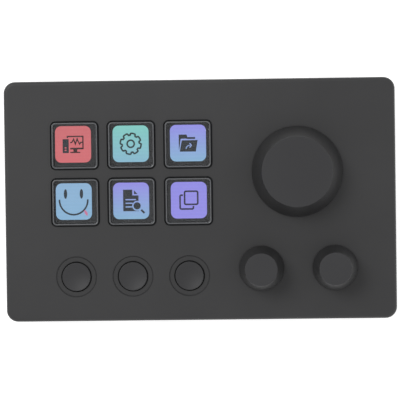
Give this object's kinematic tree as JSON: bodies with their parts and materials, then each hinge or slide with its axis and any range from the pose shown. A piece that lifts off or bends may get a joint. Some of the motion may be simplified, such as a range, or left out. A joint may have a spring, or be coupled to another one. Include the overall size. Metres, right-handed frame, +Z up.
{
  "type": "macro keypad",
  "caption": "Flat desktop macro keypad: display keys under clear caps, dished round buttons and tapered knobs that turn and push, in a two-piece moulded case.",
  "frame": {"origin": "on the desk, under the middle of the case", "axes": "+X to the user's right, along the length of the case; +Y away from the user; +Z up"},
  "size_m": [0.13, 0.08, 0.0265],
  "materials": {
    "case_plastic": "fine matt texture",
    "knob_plastic": "satin",
    "button_plastic": "satin",
    "clear_plastic": "clear, polished",
    "display_glass": "polished",
    "white_diffuser": "satin",
    "black_plastic": "matt",
    "circuit_board": "solder mask",
    "polyimide": "satin",
    "ivory_plastic": "matt",
    "polyester_film": "satin film",
    "silicone_mat": "matt",
    "foot_rubber": "matt",
    "steel": "plated",
    "shaft_metal": "machined"
  },
  "bodies": {
    "chassis": {"top_cover": "case_plastic", "bottom_cover": "case_plastic", "foot_strip_front": "foot_rubber", "foot_strip_rear": "foot_rubber", "cover_screws": "steel", "main_board": "circuit_board", "controller_chip": "black_plastic", "usb_c_shell": "steel", "usb_c_tongue": "black_plastic", "display_tray": "black_plastic", "display_backlight": "white_diffuser", "display_glass": "display_glass", "display_ribbon": "polyimide", "ribbon_connector": "ivory_plastic", "contact_sheet": "polyester_film", "key_mat": "silicone_mat", "key_guide": "black_plastic", "tact_switch_1": "black_plastic", "tact_switch_2": "black_plastic", "tact_switch_3": "black_plastic", "large_encoder_case": "black_plastic", "large_encoder_bushing": "steel", "left_small_encoder_case": "black_plastic", "left_small_encoder_bushing": "steel", "right_small_encoder_case": "black_plastic", "right_small_encoder_bushing": "steel"},
    "key_1": {"key_cap_1": "clear_plastic"},
    "key_2": {"key_cap_2": "clear_plastic"},
    "key_3": {"key_cap_3": "clear_plastic"},
    "key_4": {"key_cap_4": "clear_plastic"},
    "key_5": {"key_cap_5": "clear_plastic"},
    "key_6": {"key_cap_6": "clear_plastic"},
    "button_1": {"function_button_1": "button_plastic", "switch_plunger_1": "black_plastic"},
    "button_2": {"function_button_2": "button_plastic", "switch_plunger_2": "black_plastic"},
    "button_3": {"function_button_3": "button_plastic", "switch_plunger_3": "black_plastic"},
    "large_knob_press": {"large_encoder_presser": "black_plastic"},
    "large_knob_turn": {"large_encoder_shaft": "shaft_metal", "large_knob": "knob_plastic"},
    "left_small_knob_press": {"left_small_encoder_presser": "black_plastic"},
    "left_small_knob_turn": {"left_small_encoder_shaft": "shaft_metal", "left_small_knob": "knob_plastic"},
    "right_small_knob_press": {"right_small_encoder_presser": "black_plastic"},
    "right_small_knob_turn": {"right_small_encoder_shaft": "shaft_metal", "right_small_knob": "knob_plastic"}
  },
  "joints": [
    {"name": "key_1_press", "type": "slide", "parent": "chassis", "child": "key_1", "axis": [0, 0, -1], "range_m": [0, 0.0008], "stiffness_N_per_m": 600, "springref_m": -0.0004, "deforming": ["key_mat"]},
    {"name": "key_2_press", "type": "slide", "parent": "chassis", "child": "key_2", "axis": [0, 0, -1], "range_m": [0, 0.0008], "stiffness_N_per_m": 600, "springref_m": -0.0004, "deforming": ["key_mat"]},
    {"name": "key_3_press", "type": "slide", "parent": "chassis", "child": "key_3", "axis": [0, 0, -1], "range_m": [0, 0.0008], "stiffness_N_per_m": 600, "springref_m": -0.0004, "deforming": ["key_mat"]},
    {"name": "key_4_press", "type": "slide", "parent": "chassis", "child": "key_4", "axis": [0, 0, -1], "range_m": [0, 0.0008], "stiffness_N_per_m": 600, "springref_m": -0.0004, "deforming": ["key_mat"]},
    {"name": "key_5_press", "type": "slide", "parent": "chassis", "child": "key_5", "axis": [0, 0, -1], "range_m": [0, 0.0008], "stiffness_N_per_m": 600, "springref_m": -0.0004, "deforming": ["key_mat"]},
    {"name": "key_6_press", "type": "slide", "parent": "chassis", "child": "key_6", "axis": [0, 0, -1], "range_m": [0, 0.0008], "stiffness_N_per_m": 600, "springref_m": -0.0004, "deforming": ["key_mat"]},
    {"name": "button_1_press", "type": "slide", "parent": "chassis", "child": "button_1", "axis": [0, 0, -1], "range_m": [0, 0.0005], "stiffness_N_per_m": 1500, "springref_m": -0.0002},
    {"name": "button_2_press", "type": "slide", "parent": "chassis", "child": "button_2", "axis": [0, 0, -1], "range_m": [0, 0.0005], "stiffness_N_per_m": 1500, "springref_m": -0.0002},
    {"name": "button_3_press", "type": "slide", "parent": "chassis", "child": "button_3", "axis": [0, 0, -1], "range_m": [0, 0.0005], "stiffness_N_per_m": 1500, "springref_m": -0.0002},
    {"name": "large_knob_push", "type": "slide", "parent": "chassis", "child": "large_knob_press", "axis": [0, 0, -1], "range_m": [0, 0.0005], "stiffness_N_per_m": 4000, "springref_m": -0.0002},
    {"name": "large_knob_spin", "type": "hinge", "parent": "large_knob_press", "child": "large_knob_turn", "pos_m": [0.0324, 0.00912, 0.0205], "axis": [0, 0, 1], "continuous": true},
    {"name": "left_small_knob_push", "type": "slide", "parent": "chassis", "child": "left_small_knob_press", "axis": [0, 0, -1], "range_m": [0, 0.0005], "stiffness_N_per_m": 4000, "springref_m": -0.0002},
    {"name": "left_small_knob_spin", "type": "hinge", "parent": "left_small_knob_press", "child": "left_small_knob_turn", "pos_m": [0.0202, -0.02287, 0.0205], "axis": [0, 0, 1], "continuous": true},
    {"name": "right_small_knob_push", "type": "slide", "parent": "chassis", "child": "right_small_knob_press", "axis": [0, 0, -1], "range_m": [0, 0.0005], "stiffness_N_per_m": 4000, "springref_m": -0.0002},
    {"name": "right_small_knob_spin", "type": "hinge", "parent": "right_small_knob_press", "child": "right_small_knob_turn", "pos_m": [0.0446, -0.02287, 0.0205], "axis": [0, 0, 1], "continuous": true}
  ]
}
